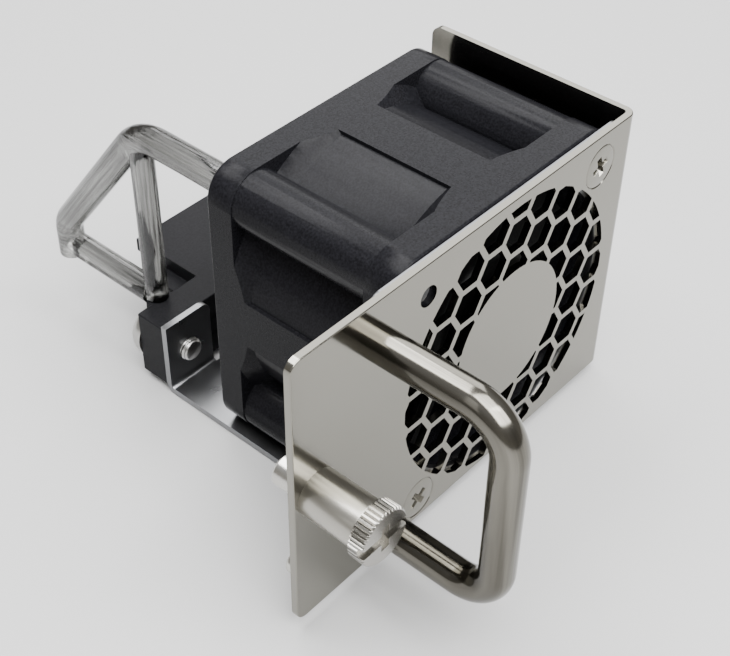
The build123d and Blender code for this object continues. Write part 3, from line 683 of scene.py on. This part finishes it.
screw_bm = bmesh.new()
screw_bm.from_mesh(nodes["connector_screws"].data)
shank = [v for v in screw_bm.verts if v.co.y < (head_seat_y - head_slack) * mm]
bmesh.ops.delete(screw_bm, geom=shank, context="VERTS")
for screw_x in tab_screw_places:
    threaded_rod(screw_bm, screw_x, tab_screw_z, screw_tip_y, head_seat_y + thread_into_head,
                 tab_screw_radius, tab_thread_depth, tab_screw_pitch, tab_screw_chamfer)
screw_mesh = finished_mesh(screw_bm, "tab_screws")
shade_round(screw_mesh, angle_deg=50)
add_piece("tab_screws", screw_mesh, [screw_steel], "module", "plated_steel", "connector_screws")
print("threads cut at", tab_screw_pitch, "mm pitch")

# %% [markdown]
# ## The fan's screws
# A driver's recess has sloping walls, so some of them catch the light and some don't, and a head's
# rounded rim draws a bright arc on one side and a dark one on the other. That is all that tells
# the eye a flush screw is there. The head is turned from a profile, and a tapered cross is cut out.

# %% Measure the fan's screws
low, high = (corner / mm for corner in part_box("fan_screws"))
head_radius, shank_radius, rim_round, tip_chamfer = 2.9, 2.1, 0.32, 0.5
head_front, screw_tip = low.y, high.y
head_back = head_front + head_radius - shank_radius
recess_reach, recess_half_width, recess_depth = 1.45, 0.42, 1.0
screw_places = ((high.x - head_radius, high.z - head_radius, 20),
                (low.x + head_radius, low.z + head_radius, 40))

rim_step_deg = 15
rim_profile = [(head_radius - rim_round * (1 - math.sin(math.radians(angle))),
                head_front + rim_round * (1 - math.cos(math.radians(angle))))
               for angle in range(0, 90 + rim_step_deg, rim_step_deg)]
head_profile = rim_profile + [(shank_radius, head_back + rim_round),
                              (shank_radius, screw_tip - tip_chamfer),
                              (shank_radius - tip_chamfer, screw_tip)]
print("flush screws", 2 * head_radius, "mm across, tips at", round(screw_tip, 1), "mm")

# %% Helper for a turned head


def turned_mesh(name, x, z, profile, sides=72):
    """Solid of revolution about a line along Y. The profile lists radius and place on it."""
    bm = bmesh.new()
    rings = []
    for r, y in profile:
        angles = [math.tau * side / sides for side in range(sides)]
        rings.append([bm.verts.new(((x + r * math.cos(angle)) * mm, y * mm,
                                    (z + r * math.sin(angle)) * mm)) for angle in angles])
    skin_rings(bm, rings, clockwise=True)
    return solid_mesh(bm, name)


# %% Helper for its recess
# The cross starts this far in front of the head, and its arms change by these shares on the way.
recess_lift = 0.1
mouth_reach_share, mouth_width_share = 1.05, 1.08
foot_reach_share, foot_width_share = 0.45, 0.4


def tapered_cross(name, x, z, tilt_deg):
    """Cross that narrows from just in front of the head to the foot of the recess."""
    mouth = (head_front - recess_lift, mouth_reach_share, mouth_width_share)
    foot = (head_front + recess_depth, foot_reach_share, foot_width_share)
    bm = bmesh.new()
    rings = []
    for y, reach_share, width_share in (mouth, foot):
        reach, half_width = recess_reach * reach_share, recess_half_width * width_share
        quarter_outline = ((reach, half_width), (half_width, half_width), (half_width, reach))
        outline = []
        for quarter in range(4):
            turn = Matrix.Rotation(math.radians(90 * quarter + tilt_deg), 2)
            outline += [turn @ Vector(point) for point in quarter_outline]
        rings.append([bm.verts.new(((x + point.x) * mm, y * mm, (z + point.y) * mm))
                      for point in outline])
    skin_rings(bm, rings)
    return solid_mesh(bm, name)


# %% Turn the fan's screws
head_bm = bmesh.new()
for screw_x, screw_z, tilt_deg in screw_places:
    blank = turned_mesh("screw_blank", screw_x, screw_z, head_profile)
    recess = tapered_cross("recess", screw_x, screw_z, tilt_deg)
    head_bm.from_mesh(combined("screw", [blank, recess], "DIFFERENCE"))
head_mesh = finished_mesh(head_bm, "flush_screws")
shade_round(head_mesh, angle_deg=30)
add_piece("flush_screws", head_mesh, [flush_steel], "module", "plated_steel", "fan_screws")
print("two flush screws have", len(head_mesh.vertices), "points")

# %% [markdown]
# ## Finish the engineering pieces
# Most pieces keep their engineering mesh and only need a finish. A sharp modelled edge never
# catches light, though, and a real edge does, so the five pieces whose edges show most are welded
# and given a bevel of up to a quarter of a millimetre. The bevel is a modifier, so the shape
# underneath stays as it was drawn.

# %% Choose each piece's finish
finish_of = {
    "front_plate": plate_steel, "fan_tray": tray_steel, "fan_housing": fan_plastic,
    "impeller": impeller_plastic, "rotor_yoke": tray_steel, "rotor_magnet": magnet,
    "rotor_shaft": turned_steel, "front_bearing": turned_steel, "rear_bearing": turned_steel,
    "bearing_tube": brass, "stator_core": laminated, "stator_coils": copper,
    "motor_board": board, "preload_washer": turned_steel, "shaft_clip": turned_steel,
    "fan_screws": flush_steel, "pull_handle": nickel, "handle_screws": screw_steel,
    "thumbscrew_ferrule": sleeve_nickel, "thumbscrew_knob": knob_nickel,
    "thumbscrew_shank": turned_steel, "thumbscrew_washer": turned_steel,
    "thumbscrew_spring": turned_steel, "guide_pin": turned_steel, "light_pipe": level_acrylic,
    "connector_body": connector_plastic, "connector_contacts": brass,
    "connector_screws": screw_steel,
}
edge_width_mm = {
    "fan_tray": 0.12, "fan_housing": 0.25, "thumbscrew_ferrule": 0.12,
    "connector_body": 0.2, "thumbscrew_knob": 0.05,
}
print(len(edge_width_mm), "pieces get a bevel")

# %% Dress the engineering pieces
weld_distance = 1e-6
bevel_above_deg = 32


def soften_edges(obj, width_mm):
    """Joins the mesh's split corners and rounds its sharp edges a little."""
    weld = obj.modifiers.new("weld", "WELD")
    weld.merge_threshold = weld_distance
    bevel = obj.modifiers.new("bevel", "BEVEL")
    bevel.width = width_mm * mm
    bevel.segments = 2
    bevel.limit_method = "ANGLE"
    bevel.angle_limit = math.radians(bevel_above_deg)
    bevel.use_clamp_overlap = True
    bevel.harden_normals = True


for name, obj in nodes.items():
    obj.data.materials.clear()
    obj.data.materials.append(finish_of[name])
    if name in edge_width_mm:
        soften_edges(obj, edge_width_mm[name])
print("dressed", len(finish_of), "pieces")
